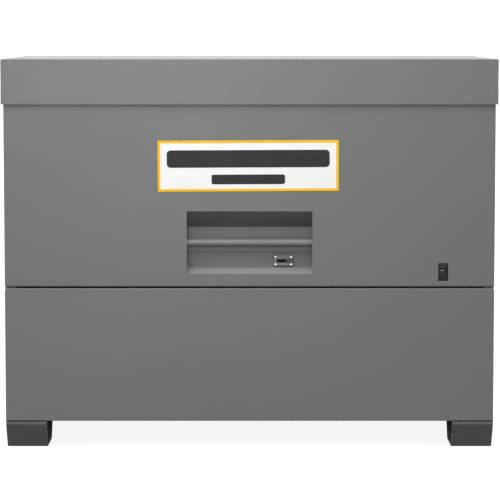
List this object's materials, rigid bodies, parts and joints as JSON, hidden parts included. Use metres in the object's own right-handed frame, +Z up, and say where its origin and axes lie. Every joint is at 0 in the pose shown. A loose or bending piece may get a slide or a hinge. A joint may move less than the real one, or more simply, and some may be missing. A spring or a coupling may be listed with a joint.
{
  "type": "tool chest",
  "caption": "Upright folded-steel tool chest: lid and upper front lift as one on a rear hinge, with a hand recess, slide latch, padlock pocket and bent feet.",
  "frame": {"origin": "on the floor, under the middle of the chest's overall width and depth", "axes": "+X to the right along the long side, +Y to the back, +Z up; the handle recess faces -Y"},
  "size_m": [1.5386, 0.7806, 1.219],
  "materials": {
    "grey_paint": "smooth satin grey powder coat",
    "zinc_steel": "zinc-plated steel",
    "bright_rivet": "bright rivet",
    "black_tube": "black semi-gloss",
    "chrome_rod": "polished",
    "label_film": "printed film"
  },
  "bodies": {
    "box": {"back_panel": "grey_paint", "base_pan": "grey_paint", "hinge_body_leaf": "grey_paint", "hinge_body_rivets": "bright_rivet", "hinge_pin": "zinc_steel", "latch_keeper": "zinc_steel", "left_foot_front": "grey_paint", "left_foot_rear": "grey_paint", "left_shelf_bracket": "grey_paint", "left_side_panel": "grey_paint", "left_strut_stud": "zinc_steel", "lock_bracket": "grey_paint", "lock_staple": "zinc_steel", "lower_front_panel": "grey_paint", "right_foot_front": "grey_paint", "right_foot_rear": "grey_paint", "right_shelf_bracket": "grey_paint", "right_side_panel": "grey_paint", "right_strut_stud": "zinc_steel", "shelf": "grey_paint"},
    "lid": {"lid_cover": "grey_paint", "front_panel": "grey_paint", "front_lid_stiffener": "grey_paint", "rear_lid_stiffener": "grey_paint", "hinge_lid_leaf": "grey_paint", "hinge_lid_rivets": "bright_rivet", "recess_upper_pan": "grey_paint", "recess_lower_pan": "grey_paint", "handle_bar": "grey_paint", "latch_case": "zinc_steel", "latch_rivets": "bright_rivet", "lock_pocket": "grey_paint", "label_plate": "label_film", "bolt_guides": "zinc_steel", "left_panel_gusset": "grey_paint", "left_panel_stiffener": "grey_paint", "left_recess_cheek": "grey_paint", "left_strut_bracket": "grey_paint", "right_panel_gusset": "grey_paint", "right_panel_stiffener": "grey_paint", "right_recess_cheek": "grey_paint", "right_strut_bracket": "grey_paint"},
    "latch": {"latch_bolt": "zinc_steel", "latch_tab": "zinc_steel"},
    "left_spring_tube": {"left_strut_cylinder": "black_tube"},
    "left_spring_rod": {"left_strut_rod": "chrome_rod"},
    "right_spring_tube": {"right_strut_cylinder": "black_tube"},
    "right_spring_rod": {"right_strut_rod": "chrome_rod"}
  },
  "joints": [
    {"name": "lid_hinge", "type": "hinge", "parent": "box", "child": "lid", "pos_m": [0, 0.38565, 1.184], "axis": [-1, 0, 0], "range_deg": [0, 80]},
    {"name": "latch_slide", "type": "slide", "parent": "lid", "child": "latch", "axis": [-1, 0, 0], "range_m": [0, 0.025]},
    {"name": "left_spring_swing", "type": "hinge", "parent": "box", "child": "left_spring_tube", "pos_m": [-0.718, 0.32565, 0.929], "axis": [-1, 0, 0], "range_deg": [0, 37.43]},
    {"name": "left_spring_stroke", "type": "slide", "parent": "left_spring_tube", "child": "left_spring_rod", "axis": [0, -0.6332, 0.774], "range_m": [0, 0.20159]},
    {"name": "right_spring_swing", "type": "hinge", "parent": "box", "child": "right_spring_tube", "pos_m": [0.718, 0.32565, 0.929], "axis": [-1, 0, 0], "range_deg": [0, 37.43]},
    {"name": "right_spring_stroke", "type": "slide", "parent": "right_spring_tube", "child": "right_spring_rod", "axis": [0, -0.6332, 0.774], "range_m": [0, 0.20159]}
  ],
  "couplings": [
    {"joint": "left_spring_swing", "follows": "lid_hinge", "ratio": 0.4673},
    {"joint": "left_spring_stroke", "follows": "lid_hinge", "m_per_rad": 0.14416},
    {"joint": "right_spring_swing", "follows": "lid_hinge", "ratio": 0.4673},
    {"joint": "right_spring_stroke", "follows": "lid_hinge", "m_per_rad": 0.14416}
  ]
}
